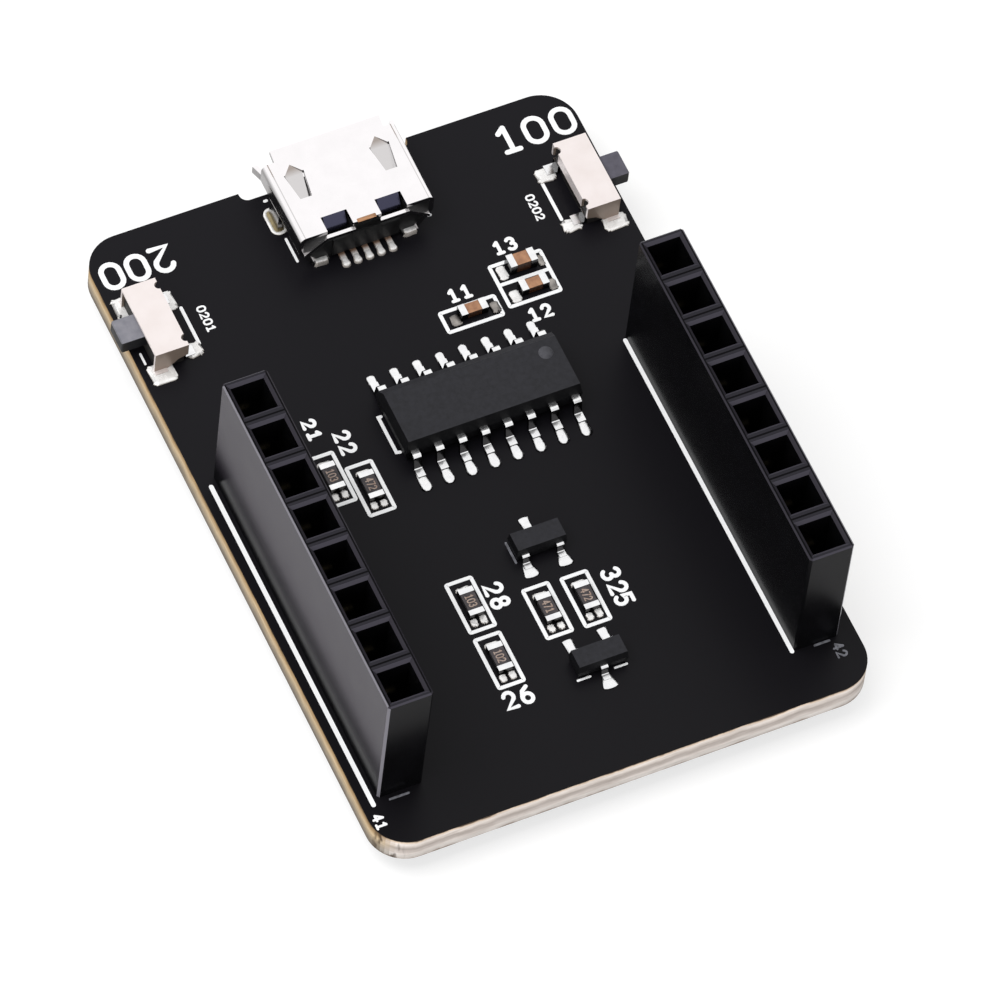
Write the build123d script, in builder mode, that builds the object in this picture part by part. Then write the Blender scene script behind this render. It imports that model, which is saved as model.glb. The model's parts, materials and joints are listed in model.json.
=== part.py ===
from build123d import *
import math
import os

os.makedirs("parts", exist_ok=True)

# Base board for a plug-in camera module, in millimetres. The board lies flat, +Y runs towards the USB
# receptacle, and the origin is on the table under the middle of the part, which stands on its solder tails.

# The bare board
board_w = 27.2
board_l = 38.4
board_t = 1.6
board_corner_r = 2.0
recess_w = 9.4
recess_deep = 0.55
recess_r = 0.45

# The two socket rows
pitch = 2.54
ways = 8
row_spacing = 22.86
row_near_gap = 3.0
header_w = 2.45
header_h = 8.5
header_end_wall = 0.36
header_corner = 0.12
header_rim = 0.08
socket_w = 1.8
socket_floor = 1.2
lead_in = 0.16
pin_hole_r = 0.5

# The spring contact in each socket
leaf_t = 0.2
leaf_w = 0.9
leaf_foot_gap = 0.1
leaf_foot_out = 0.76
leaf_throat_out = 0.36
leaf_mouth_out = 0.6
leaf_bend_z = 2.6
leaf_throat_z = 4.7
leaf_top_z = 5.5
tail_w = 0.6
tail_t = 0.3
tail_below = 1.3
tail_clearance = 0.05

# The solder cone round each tail, under the board
solder_r = 0.85
solder_tip_r = 0.42
solder_h = 0.9
solder_sides = 10

# The micro-USB receptacle
usb_x = 0.08
usb_rear_gap = 5.3
usb_overhang = 0.15
usb_w = 7.5
usb_h = 2.5
usb_lift = 0.08
usb_skin = 0.25
usb_floor_w = 5.9
usb_shoulder_h = 1.25
usb_corner_r = 0.4
lip_l = 0.6
lip_out = 0.2
lip_gap = 0.7
latch_x = 2.38
latch_gap = 1.0
latch_l = 2.0
latch_root_w = 0.96
latch_tip_w = 0.5
latch_slot = 0.07
latch_tip_slot = 0.14
latch_angle = 11
latch_point_l = 0.55
rear_notch_w = 1.43
rear_notch_l = 0.9
rear_notch_x = 1.5
rear_flap_w = 1.2
rear_flap_l = 0.85
rear_flap_angle = 50
rear_bar_w = 1.6
rear_bar_h = 0.22
rear_bar_t = 0.2
rear_bar_z = 1.95
rear_arm_z = 1.0
rear_foot_x = 2.48
rear_foot_w = 0.85
rear_foot_l = 0.22
floor_notch_w = 3.7
floor_notch_l = 0.6
shell_leg_l = 1.1
shell_leg_t = 0.25
shell_leg_gap = 1.8
shell_leg_below = 0.5
slot_l = 1.6
slot_w = 0.7
block_l = 1.5
block_behind = 0.1
block_behind_h = 1.75
block_pocket_deep = 0.95
tongue_w = 3.7
tongue_t = 0.6
tongue_z = 1.45
tongue_short = 0.9
usb_ways = 5
usb_pitch = 0.65
usb_contact_w = 0.3
usb_contact_t = 0.15
usb_foot_l = 0.7
usb_drop_in = 0.3

# The side-push switches, the same part turned about on each side
switch_side_gap = 1.57
switch_far_gap = 6.23
base_h = 1.45
pocket_l = 2.5
pocket_back_wall = 0.22
pocket_front_wall = 0.3
pocket_floor = 0.35
cover_w = 1.84
cover_l = 4.36
cover_t = 0.15
cover_flange_inner_z = 0.75
cover_flange_slope_z = 0.6
cover_flange_slope_w = 0.65
cover_foot_w = 0.67
cover_foot_l = 0.22
cover_notch_r = 0.22
cover_notch_y = 1.7
cover_skirt_l = 2.9
cover_skirt_z = 0.85
plunger_travel = 0.25
plunger_gap = 0.04
plunger_head_w = 1.46
plunger_head_h = 0.8
plunger_z = 0.9
plunger_pressed_out = 0.95
plunger_shoulder_w = 2.2
plunger_shoulder_t = 0.3
plunger_nose_w = 0.4
plunger_nose_l = 0.15
plunger_edge = 0.06
spring_t = 0.08
spring_gap = 0.02
spring_w = 0.8
spring_half_l = 1.05
terminal_w = 0.6
terminal_t = 0.15
terminal_reach = 0.7
terminal_y = 1.95
terminal_rise = 0.6

# The 16-lead chip
chip_x = 1.52
chip_y = 3.03
chip_l = 9.8
chip_w = 3.8
chip_h = 1.6
chip_lift = 0.15
chip_draft = 10
chip_bevel = 0.42
chip_leads_a_side = 8
chip_pitch = 1.27
lead_w = 0.42
lead_t = 0.2
lead_root = 0.2
lead_shoulder = 0.35
lead_foot_l = 0.6
lead_span = 6.0
lead_bend_r = 0.15
bend_runs = 3

# The two small transistors
transistor_upper_at = (0.8, -5.7)
transistor_lower_at = (0.8, -13.08)
transistor_l = 2.76
transistor_w = 1.2
transistor_h = 0.9
transistor_lift = 0.1
transistor_draft = 8
transistor_pitch = 1.9
transistor_span = 2.4
transistor_lead_w = 0.38
transistor_lead_t = 0.12
transistor_foot_l = 0.4
transistor_shoulder = 0.2
transistor_root = 0.15
transistor_bend_r = 0.1

# The chip resistors, their long side along the board, and the chip capacitors, theirs across it
resistor_1_at = (-7.2, 1.63)
resistor_2_at = (-5.58, 0.45)
resistor_3_at = (-3.75, -7.72)
resistor_4_at = (-3.75, -11.2)
resistor_5_at = (-0.3, -9.45)
resistor_6_at = (1.78, -9.53)
resistor_l = 1.6
resistor_w = 0.8
resistor_h = 0.45
resistor_cap_l = 0.3
capacitor_1_at = (3.57, 8.22)
capacitor_2_at = (7.08, 8.45)
capacitor_3_at = (7.04, 9.9)
capacitor_l = 1.5
capacitor_w = 0.65
capacitor_h = 0.5
tall_capacitor_w = 0.78
tall_capacitor_h = 0.72
capacitor_cap_l = 0.36
end_cap_skin = 0.03

# Where the levels and the middle of the board lie
top = tail_below + board_t
board_y = -usb_overhang / 2
board_top = Plane((0, board_y, top))
row_l = (ways - 1) * pitch + socket_w + 2 * header_end_wall
row_y = board_y - board_l / 2 + row_near_gap + row_l / 2
usb_rear_y = board_y + board_l / 2 - usb_rear_gap
usb_front_y = board_y + board_l / 2 + usb_overhang
usb_leg_y = usb_front_y - lip_l - shell_leg_gap
usb_base_z = top + usb_lift
usb_leg_x = usb_w / 2 - usb_skin / 2
rear_arm_x = usb_w / 2 - usb_skin
latch_y = usb_front_y - latch_gap
switch_x = board_w / 2 - switch_side_gap
switch_y = board_y + board_l / 2 - switch_far_gap


def save(piece, name):
    piece.label = name
    export_step(piece, f"parts/{name}.step")


def on_board(place):
    return Plane((place[0], board_y + place[1], top))


def row_plane(side):
    return Plane((side * row_spacing / 2, row_y, top))


def way_y(way):
    return row_y + (way - (ways - 1) / 2) * pitch


# Printed circuit board: rounded corners, a recess for the receptacle's lip, pin holes and leg slots
def circuit_board():
    with BuildPart() as board:
        with BuildSketch(board_top.offset(-board_t)) as outline:
            RectangleRounded(board_w, board_l, board_corner_r)
            with Locations((usb_x, board_l / 2 - recess_deep / 2)):
                Rectangle(recess_w, recess_deep, mode=Mode.SUBTRACT)
            inner = outline.vertices().filter_by_position(
                Axis.Y, board_l / 2 - recess_deep - recess_r, board_l / 2 - recess_deep + recess_r)
            inner = [v for v in inner if abs(v.X - usb_x) < recess_w / 2 + recess_r]
            fillet(inner, radius=recess_r)
        extrude(amount=board_t)
        for side in (-1, 1):
            with BuildSketch(row_plane(side)):
                with GridLocations(0, pitch, 1, ways):
                    Circle(pin_hole_r)
            extrude(amount=-board_t, mode=Mode.SUBTRACT)
            with BuildSketch(Plane((usb_x + side * usb_leg_x, usb_leg_y, top))):
                SlotOverall(slot_l, slot_w, rotation=90)
            extrude(amount=-board_t, mode=Mode.SUBTRACT)
    return board.part


# Socket housing: a row of square wells with a lead-in, and a slot in each floor for the contact's tail
def header_housing(side):
    row = row_plane(side)
    with BuildPart() as housing:
        with BuildSketch(row):
            Rectangle(header_w, row_l)
        extrude(amount=header_h)
        chamfer(housing.edges().filter_by(Axis.Z), length=header_corner)
        with BuildSketch(row.offset(header_h)):
            with GridLocations(0, pitch, 1, ways):
                Rectangle(socket_w, socket_w)
        extrude(amount=socket_floor - header_h, mode=Mode.SUBTRACT)
        mouths = housing.faces().sort_by(Axis.Z)[-1].inner_wires()
        chamfer([edge for mouth in mouths for edge in mouth.edges()], length=lead_in)
        chamfer(housing.faces().sort_by(Axis.Z)[-1].outer_wire().edges(), length=header_rim)
        with BuildSketch(row):
            with GridLocations(0, pitch, 1, ways):
                Rectangle(tail_w + 2 * tail_clearance, tail_t + 2 * tail_clearance)
        extrude(amount=socket_floor, mode=Mode.SUBTRACT)
    return housing.part


# Spring contact: one strip bent into two leaves that close on a pin, with a flat tail through the board
def header_contact(side, way):
    across = Plane((side * row_spacing / 2, way_y(way), top), x_dir=(0, 1, 0), z_dir=(1, 0, 0))
    foot = socket_floor + leaf_foot_gap
    half = [(leaf_foot_out, foot), (leaf_foot_out, leaf_bend_z), (leaf_throat_out, leaf_throat_z),
            (leaf_mouth_out, leaf_top_z)]
    path = [(-u, v) for u, v in reversed(half)] + half
    with BuildPart() as contact:
        with BuildSketch(across):
            with BuildLine():
                Polyline(*path)
                offset(amount=leaf_t, side=Side.LEFT, kind=Kind.INTERSECTION)
            make_face()
        extrude(amount=leaf_w / 2, both=True)
        with BuildSketch(Plane((side * row_spacing / 2, way_y(way), 0))):
            Rectangle(tail_w, tail_t)
        extrude(amount=top + foot)
    return contact.part


# Solder cones round the tails of one row
def header_solder(side):
    with BuildPart() as solder:
        for way in range(ways):
            centre = Plane((side * row_spacing / 2, way_y(way), tail_below))
            with BuildSketch(centre):
                RegularPolygon(solder_r, solder_sides)
            with BuildSketch(centre.offset(-solder_h)):
                RegularPolygon(solder_tip_r, solder_sides)
            loft()
            with BuildSketch(centre):
                Rectangle(tail_w, tail_t)
            extrude(amount=-solder_h, mode=Mode.SUBTRACT)
    return solder.part


def usb_plane(y):
    return Plane((usb_x, y, usb_base_z), x_dir=(1, 0, 0), z_dir=(0, -1, 0))


# Outline of the receptacle at one depth: the shell's outside, grown or shrunk by a wall
def usb_section(y, grow, corner_r):
    with BuildSketch(usb_plane(y)) as section:
        with BuildLine():
            Polyline((-usb_w / 2 - grow, usb_h + grow), (usb_w / 2 + grow, usb_h + grow),
                     (usb_w / 2 + grow, usb_shoulder_h), (usb_floor_w / 2 + grow, -grow),
                     (-usb_floor_w / 2 - grow, -grow), (-usb_w / 2 - grow, usb_shoulder_h), close=True)
        make_face()
        fillet(section.vertices(), radius=corner_r)
    return section.sketch


# A plane that leans down from the roof towards the rear
def lean(x, y, angle):
    turn = math.radians(angle)
    normal = (0, -math.sin(turn), math.cos(turn))
    return Plane((usb_x + x, y, usb_base_z + usb_h), x_dir=(1, 0, 0), z_dir=normal)


# Outline of one latch spring, pointed at its root; the window round it is wider by a slot
def latch_outline(side, slot, tip_slot, angle=0):
    root = latch_root_w / 2
    tip = latch_tip_w / 2 + slot
    tip_y = -latch_l - tip_slot
    with BuildSketch(lean(side * latch_x, latch_y, angle)) as outline:
        with BuildLine():
            Polyline((0, 0), (root, -latch_point_l), (-root, -latch_point_l), close=True)
        make_face()
        with BuildLine():
            Polyline((root + slot, -latch_point_l), (tip, tip_y),
                     (-tip, tip_y), (-root - slot, -latch_point_l), close=True)
        make_face()
    return outline.sketch


# Folded steel shell with a flared front lip, latch springs, rear notches and two legs
def usb_shell():
    mouth_y = usb_front_y - lip_l
    tube_l = mouth_y - usb_rear_y
    inner_r = usb_corner_r - usb_skin / 2
    roof = Plane((usb_x, usb_rear_y, usb_base_z + usb_h))
    with BuildPart() as shell:
        extrude(usb_section(mouth_y, 0, usb_corner_r), amount=tube_l)
        loft([usb_section(mouth_y, 0, usb_corner_r), usb_section(usb_front_y, lip_out, usb_corner_r)])
        extrude(usb_section(mouth_y, -usb_skin, inner_r), amount=tube_l, mode=Mode.SUBTRACT)
        flare = usb_section(usb_front_y, lip_out - usb_skin, inner_r)
        loft([usb_section(mouth_y, -usb_skin, inner_r), flare], mode=Mode.SUBTRACT)
        # The top lip stands apart from the side lips
        with BuildSketch(usb_plane(usb_front_y)):
            with Locations((-usb_w / 2, usb_h), (usb_w / 2, usb_h)):
                Rectangle(2 * lip_gap, 2 * lip_gap)
        extrude(amount=lip_l, mode=Mode.SUBTRACT)
        # Two latch springs, cut free of the roof, lean down from their root to their tip
        for side in (-1, 1):
            extrude(latch_outline(side, latch_slot, latch_tip_slot), amount=-usb_skin, mode=Mode.SUBTRACT)
            extrude(latch_outline(side, 0, 0, latch_angle), amount=-usb_skin)
        # Rear notches in the roof, each with a flap that leans down from its front edge
        with BuildSketch(roof):
            with GridLocations(2 * rear_notch_x, 0, 2, 1):
                Rectangle(rear_notch_w, 2 * rear_notch_l)
        extrude(amount=-usb_skin, mode=Mode.SUBTRACT)
        with BuildSketch(lean(0, usb_rear_y + rear_notch_l, rear_flap_angle)):
            with Locations((-rear_notch_x, -rear_flap_l / 2), (rear_notch_x, -rear_flap_l / 2)):
                Rectangle(rear_flap_w, rear_flap_l)
        extrude(amount=-usb_skin)
        # A bar behind each notch, on an arm from the side wall
        with BuildSketch(usb_plane(usb_rear_y)):
            for side in (-1, 1):
                with Locations((side * rear_notch_x, rear_bar_z + rear_bar_h / 2)):
                    Rectangle(rear_bar_w, rear_bar_h)
                bar_end = side * (rear_notch_x + rear_bar_w / 2)
                with BuildLine():
                    Polyline((bar_end, rear_bar_z), (bar_end, rear_bar_z + rear_bar_h),
                             (side * rear_arm_x, rear_arm_z + rear_bar_h), (side * rear_arm_x, rear_arm_z),
                             close=True)
                make_face()
        extrude(amount=rear_bar_t)
        # The floor is cut back for the contacts, and has a foot at each rear corner
        with BuildSketch(Plane((usb_x, usb_rear_y, usb_base_z))):
            Rectangle(floor_notch_w, 2 * floor_notch_l)
        extrude(amount=usb_skin, mode=Mode.SUBTRACT)
        with BuildSketch(Plane((usb_x, usb_rear_y, usb_base_z))):
            with Locations((-rear_foot_x, -rear_foot_l / 2), (rear_foot_x, -rear_foot_l / 2)):
                Rectangle(rear_foot_w, rear_foot_l)
        extrude(amount=usb_skin)
        for side in (-1, 1):
            with BuildSketch(Plane((usb_x + side * usb_leg_x, usb_leg_y, usb_base_z + usb_shoulder_h))):
                Rectangle(shell_leg_t, shell_leg_l)
            extrude(amount=-(usb_shoulder_h + usb_lift + board_t + shell_leg_below))
    return shell.part


# Path of a receptacle contact seen from the side: along the tongue, down through the block, out to its foot
def usb_contact_path():
    foot_z = usb_contact_t
    run_z = usb_lift + tongue_z - tongue_t / 2
    drop_y = usb_rear_y + usb_drop_in
    return [(usb_front_y - lip_l - tongue_short, run_z), (drop_y, run_z), (drop_y, foot_z),
            (usb_rear_y - block_behind - usb_foot_l, foot_z)]


def usb_contact_x(way):
    return usb_x + (way - (usb_ways - 1) / 2) * usb_pitch


def usb_contact(way):
    side_view = Plane((usb_contact_x(way), 0, top), x_dir=(0, 1, 0), z_dir=(1, 0, 0))
    with BuildPart() as contact:
        with BuildSketch(side_view):
            with BuildLine():
                Polyline(*usb_contact_path())
                offset(amount=usb_contact_t, side=Side.LEFT, kind=Kind.INTERSECTION)
            make_face()
        extrude(amount=usb_contact_w / 2, both=True)
    return contact.part


# Moulded insulator: a block that fills the rear of the shell, and the tongue that carries the contacts
def usb_insulator():
    block_front_y = usb_rear_y + block_l
    tongue_front_y = usb_front_y - lip_l - tongue_short
    with BuildPart() as insulator:
        extrude(usb_section(block_front_y, -usb_skin, usb_corner_r - usb_skin / 2), amount=block_l)
        with BuildSketch(usb_plane(usb_rear_y)):
            with Locations((0, (usb_skin + block_behind_h) / 2)):
                Rectangle(floor_notch_w, block_behind_h - usb_skin)
        extrude(amount=block_behind)
        # Pockets for the shell's rear flaps
        with BuildSketch(Plane((usb_x, usb_rear_y, usb_base_z + usb_h - block_pocket_deep))):
            with GridLocations(2 * rear_notch_x, 0, 2, 1):
                Rectangle(rear_notch_w, 2 * (rear_notch_l + usb_skin))
        extrude(amount=block_pocket_deep, mode=Mode.SUBTRACT)
        with BuildSketch(usb_plane(tongue_front_y)):
            with Locations((0, tongue_z)):
                Rectangle(tongue_w, tongue_t)
        extrude(amount=tongue_front_y - block_front_y)
        for way in range(usb_ways):
            add(usb_contact(way), mode=Mode.SUBTRACT)
    return insulator.part


# Switch seat: x points outwards to the plunger, on either side of the board
def switch_seat(side, height=0.0):
    return Plane((side * switch_x, switch_y, top + height), x_dir=(side, 0, 0), z_dir=(0, 0, 1))


base_w = cover_w - 2 * cover_t
base_l = cover_l - 2 * cover_t
pocket_front = base_w / 2 - pocket_front_wall
pocket_back = -base_w / 2 + pocket_back_wall
plunger_reach = cover_w / 2 + plunger_travel + plunger_pressed_out
shoulder_front = pocket_front - plunger_gap
shoulder_back = shoulder_front - plunger_shoulder_t
nose_tip = shoulder_back - plunger_nose_l
spring_crest = nose_tip - spring_gap
spring_ends = pocket_back + spring_t / 2 + spring_gap


# Moulded base with the pocket that the plunger's shoulder and the spring sit in, and the plunger's window
def switch_base(side):
    with BuildPart() as base:
        with BuildSketch(switch_seat(side)):
            Rectangle(base_w, base_l)
        extrude(amount=base_h)
        with BuildSketch(switch_seat(side, base_h)):
            with Locations(((pocket_front + pocket_back) / 2, 0)):
                Rectangle(pocket_front - pocket_back, pocket_l)
        extrude(amount=pocket_floor - base_h, mode=Mode.SUBTRACT)
        with BuildSketch(switch_seat(side, base_h)):
            with Locations((base_w / 2, 0)):
                Rectangle(2 * pocket_front_wall, plunger_head_w + 2 * plunger_gap)
        extrude(amount=plunger_z - plunger_head_h / 2 - plunger_gap - base_h, mode=Mode.SUBTRACT)
    return base.part


# Steel cover: top plate with two notches at its back edge, a skirt between them, end flanges and feet
def switch_cover(side):
    half = cover_w / 2
    heel = half - cover_foot_w
    flange = [(-half, base_h), (half, base_h), (half, 0), (heel, 0),
              (heel - cover_flange_slope_w, cover_flange_slope_z), (-half, cover_flange_inner_z)]
    with BuildPart() as cover:
        with BuildSketch(switch_seat(side, base_h)):
            Rectangle(cover_w, cover_l)
            with Locations((-half, -cover_notch_y), (-half, cover_notch_y)):
                Circle(cover_notch_r, mode=Mode.SUBTRACT)
        extrude(amount=cover_t)
        with BuildSketch(switch_seat(side, cover_skirt_z)):
            with Locations((cover_t / 2 - half, 0)):
                Rectangle(cover_t, cover_skirt_l)
        extrude(amount=base_h - cover_skirt_z)
        for end in (-1, 1):
            middle = (side * switch_x, switch_y + end * (cover_l - cover_t) / 2, top)
            with BuildSketch(Plane(middle, x_dir=(side, 0, 0), z_dir=(0, -side, 0))):
                with BuildLine():
                    Polyline(*flange, close=True)
                make_face()
            extrude(amount=cover_t / 2, both=True)
            with BuildSketch(switch_seat(side)):
                with Locations((half - cover_foot_w / 2, end * (cover_l / 2 + cover_foot_l / 2))):
                    Rectangle(cover_foot_w, cover_foot_l)
            extrude(amount=cover_t)
    return cover.part


# Plunger: the head that a finger pushes, a shoulder that keeps it in, and a nose for the spring
def switch_plunger(side):
    with BuildPart() as plunger:
        with BuildSketch(switch_seat(side, plunger_z - plunger_head_h / 2)):
            with Locations(((shoulder_back + plunger_reach) / 2, 0)):
                Rectangle(plunger_reach - shoulder_back, plunger_head_w)
        extrude(amount=plunger_head_h)
        outer = plunger.faces().sort_by(Axis.X)[-1 if side > 0 else 0]
        chamfer(outer.edges(), length=plunger_edge)
        with BuildSketch(switch_seat(side, plunger_z - plunger_head_h / 2)):
            with Locations(((shoulder_back + shoulder_front) / 2, 0)):
                Rectangle(plunger_shoulder_t, plunger_shoulder_w)
            with Locations(((nose_tip + shoulder_back) / 2, 0)):
                Rectangle(plunger_nose_l, plunger_nose_w)
        extrude(amount=plunger_head_h)
    return plunger.part


# Bowed spring leaf behind the plunger's nose
def switch_spring(side):
    with BuildPart() as spring:
        with BuildSketch(switch_seat(side, plunger_z - spring_w / 2)):
            with BuildLine():
                ThreePointArc((spring_ends, -spring_half_l), (spring_crest - spring_t / 2, 0),
                              (spring_ends, spring_half_l))
            trace(line_width=spring_t)
        extrude(amount=spring_w)
    return spring.part


# Terminals at the back of the switch: a strip up the base's wall and a foot on the board
def switch_terminals(side):
    with BuildPart() as terminals:
        for end in (-1, 1):
            leg = Plane((side * switch_x, switch_y + end * (terminal_y - terminal_w / 2), top),
                        x_dir=(side, 0, 0), z_dir=(0, -side, 0))
            with BuildSketch(leg):
                with Locations((-base_w / 2 - terminal_reach / 2, terminal_t / 2)):
                    Rectangle(terminal_reach, terminal_t)
                with Locations((-base_w / 2 - terminal_t / 2, terminal_rise / 2)):
                    Rectangle(terminal_t, terminal_rise)
            extrude(amount=terminal_w / 2, both=True)
    return terminals.part


# A moulded body with draft above and below its parting plane, lifted off the board
def moulded_body(seat, length, width, height, lift, draft):
    half = height / 2
    middle = seat.offset(lift + half)
    with BuildPart() as body:
        with BuildSketch(middle):
            Rectangle(length, width)
        extrude(amount=half, taper=draft)
        with BuildSketch(middle):
            Rectangle(length, width)
        extrude(amount=-half, taper=draft)
    return body.part


# One gull-wing lead seen from the side, u outwards from the body's middle and v up from the board
def gull_wing(half_w, root, shoulder, half_span, foot_l, root_z, thick):
    knee = half_w + shoulder
    heel = half_span - foot_l
    return [(half_w - root, root_z), (min(knee, heel - thick / 2), root_z),
            (heel, thick / 2), (half_span, thick / 2)]


# Path whose corners are turned in short straight runs
def eased(path, radius):
    points = [path[0]]
    for (ax, ay), (bx, by), (cx, cy) in zip(path, path[1:], path[2:]):
        heading = math.atan2(by - ay, bx - ax)
        turn = math.atan2(cy - by, cx - bx) - heading
        cut = radius * math.tan(abs(turn) / 2)
        run = 2 * radius * math.sin(abs(turn) / bend_runs / 2)
        x = bx - cut * math.cos(heading)
        y = by - cut * math.sin(heading)
        points.append((x, y))
        for step in range(bend_runs):
            x += run * math.cos(heading + turn * (step + 0.5) / bend_runs)
            y += run * math.sin(heading + turn * (step + 0.5) / bend_runs)
            points.append((x, y))
    return points + [path[-1]]


def leads(seat, places, path, width, thick, bend_r):
    with BuildPart() as group:
        for along, out in places:
            origin = seat.from_local_coords(Vector(along, 0, 0))
            side_view = Plane(origin, x_dir=(0, out, 0), z_dir=(out, 0, 0))
            with BuildSketch(side_view):
                with BuildLine():
                    Polyline(*eased(path, bend_r))
                    offset(amount=thick / 2, side=Side.RIGHT, closed=False, kind=Kind.INTERSECTION,
                           mode=Mode.REPLACE)
                    offset(amount=thick, side=Side.LEFT, kind=Kind.INTERSECTION)
                make_face()
            extrude(amount=width / 2, both=True)
    return group.part


def body_round_leads(body, lead_group):
    with BuildPart() as finished:
        add(body)
        add(lead_group, mode=Mode.SUBTRACT)
    return finished.part


# Ceramic body of a chip part, inside the skin of its end caps
def chip_part_body(place, size_x, size_y, height):
    with BuildPart() as body:
        with BuildSketch(on_board(place).offset(end_cap_skin)):
            Rectangle(size_x - 2 * end_cap_skin, size_y - 2 * end_cap_skin)
        extrude(amount=height - 2 * end_cap_skin)
    return body.part


# End caps that wrap both ends of a chip part, with the body taken out of them
def end_caps(place, size_x, size_y, height, cap_x, cap_y):
    with BuildPart() as caps:
        with BuildSketch(on_board(place)):
            Rectangle(size_x, size_y)
            Rectangle(size_x - 2 * cap_x, size_y - 2 * cap_y, mode=Mode.SUBTRACT)
        extrude(amount=height)
        add(chip_part_body(place, size_x, size_y, height), mode=Mode.SUBTRACT)
    return caps.part


save(circuit_board(), "pcb")

for side, side_name in ((-1, "left"), (1, "right")):
    save(header_housing(side), f"{side_name}_header_housing")
    for way in range(ways):
        save(header_contact(side, way), f"{side_name}_contact_{way + 1}")
    save(header_solder(side), f"{side_name}_header_solder")
    save(switch_base(side), f"{side_name}_switch_base")
    save(switch_cover(side), f"{side_name}_switch_cover")
    save(switch_plunger(side), f"{side_name}_switch_plunger")
    save(switch_spring(side), f"{side_name}_switch_spring")
    save(switch_terminals(side), f"{side_name}_switch_terminals")

save(usb_shell(), "usb_shell")
save(usb_insulator(), "usb_insulator")
for way in range(usb_ways):
    save(usb_contact(way), f"usb_contact_{way + 1}")

chip_seat = on_board((chip_x, chip_y))
chip_path = gull_wing(chip_w / 2, lead_root, lead_shoulder, lead_span / 2, lead_foot_l,
                      chip_lift + chip_h / 2, lead_t)
chip_places = [((way - (chip_leads_a_side - 1) / 2) * chip_pitch, out)
               for out in (-1, 1) for way in range(chip_leads_a_side)]
chip_leads = leads(chip_seat, chip_places, chip_path, lead_w, lead_t, lead_bend_r)
chip_body = moulded_body(chip_seat, chip_l, chip_w, chip_h, chip_lift, chip_draft)
with BuildPart() as chip:
    add(chip_body)
    rim = chip.faces().sort_by(Axis.Z)[-1].edges().filter_by(Axis.X).sort_by(Axis.Y)[-1]
    chamfer(rim, length=chip_bevel)
save(body_round_leads(chip.part, chip_leads), "chip_body")
save(chip_leads, "chip_leads")

transistor_path = gull_wing(transistor_w / 2, transistor_root, transistor_shoulder, transistor_span / 2,
                            transistor_foot_l, transistor_lift + transistor_h / 2, transistor_lead_t)
transistors = (("transistor_1", transistor_upper_at, -1), ("transistor_2", transistor_lower_at, 1))
for name, place, pair_side in transistors:
    seat = on_board(place)
    places = [(-transistor_pitch / 2, pair_side), (transistor_pitch / 2, pair_side), (0, -pair_side)]
    legs = leads(seat, places, transistor_path, transistor_lead_w, transistor_lead_t, transistor_bend_r)
    body = moulded_body(seat, transistor_l, transistor_w, transistor_h, transistor_lift, transistor_draft)
    save(body_round_leads(body, legs), f"{name}_body")
    save(legs, f"{name}_leads")

resistor_places = (resistor_1_at, resistor_2_at, resistor_3_at, resistor_4_at, resistor_5_at, resistor_6_at)
with BuildPart() as resistor_caps:
    for number, place in enumerate(resistor_places, 1):
        save(chip_part_body(place, resistor_w, resistor_l, resistor_h), f"resistor_{number}")
        add(end_caps(place, resistor_w, resistor_l, resistor_h, 0, resistor_cap_l))
save(resistor_caps.part, "resistor_end_caps")

capacitor_places = ((capacitor_1_at, capacitor_w, capacitor_h), (capacitor_2_at, capacitor_w, capacitor_h),
                    (capacitor_3_at, tall_capacitor_w, tall_capacitor_h))
with BuildPart() as capacitor_caps:
    for number, (place, width, height) in enumerate(capacitor_places, 1):
        save(chip_part_body(place, capacitor_l, width, height), f"capacitor_{number}")
        add(end_caps(place, capacitor_l, width, height, capacitor_cap_l, 0))
save(capacitor_caps.part, "capacitor_end_caps")
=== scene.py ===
import bpy
import json
import math
from mathutils import Matrix, Vector


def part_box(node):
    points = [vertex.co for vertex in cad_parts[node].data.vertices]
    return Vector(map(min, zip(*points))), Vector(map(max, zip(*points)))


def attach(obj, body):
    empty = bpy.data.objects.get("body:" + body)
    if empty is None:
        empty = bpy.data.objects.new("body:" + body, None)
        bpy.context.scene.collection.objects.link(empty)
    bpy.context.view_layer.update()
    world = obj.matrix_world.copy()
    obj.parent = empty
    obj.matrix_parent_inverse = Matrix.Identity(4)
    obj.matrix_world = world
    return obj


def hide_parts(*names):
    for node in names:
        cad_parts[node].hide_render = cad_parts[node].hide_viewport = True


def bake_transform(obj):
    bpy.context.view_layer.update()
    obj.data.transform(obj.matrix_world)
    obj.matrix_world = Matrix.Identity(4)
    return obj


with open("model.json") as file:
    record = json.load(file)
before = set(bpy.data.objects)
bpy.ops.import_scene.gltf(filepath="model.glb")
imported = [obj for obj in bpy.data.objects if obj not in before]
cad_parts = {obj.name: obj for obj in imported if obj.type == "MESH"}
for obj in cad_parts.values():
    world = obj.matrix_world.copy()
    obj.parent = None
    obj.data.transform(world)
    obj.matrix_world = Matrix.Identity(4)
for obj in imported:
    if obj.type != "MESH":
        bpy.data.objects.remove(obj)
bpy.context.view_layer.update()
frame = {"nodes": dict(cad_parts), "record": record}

# Places on the board are in millimetres from the middle of its top face: x to the right, y to the receptacle
MM = 0.001
board_low, board_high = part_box("pcb")
board_centre = (board_low + board_high) / 2
origin = Vector((board_centre.x, board_centre.y, board_high.z))
board_t = (board_high.z - board_low.z) / MM


def srgb(red, green, blue):
    """A colour written as 0 to 255 becomes the linear one that a shader takes."""
    linear = []
    for value in (red, green, blue):
        c = value / 255
        linear.append(c / 12.92 if c <= 0.04045 else ((c + 0.055) / 1.055) ** 2.4)
    return (*linear, 1)


# Shapes

# Strokes that cross lie on levels of their own: how many there are, and their distance in millimetres
STROKE_LEVELS = 7
STROKE_STEP = 0.0012
# Keeps the point of a stroke's sharp corner from running out far
CORNER_LIMIT = 0.3


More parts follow.
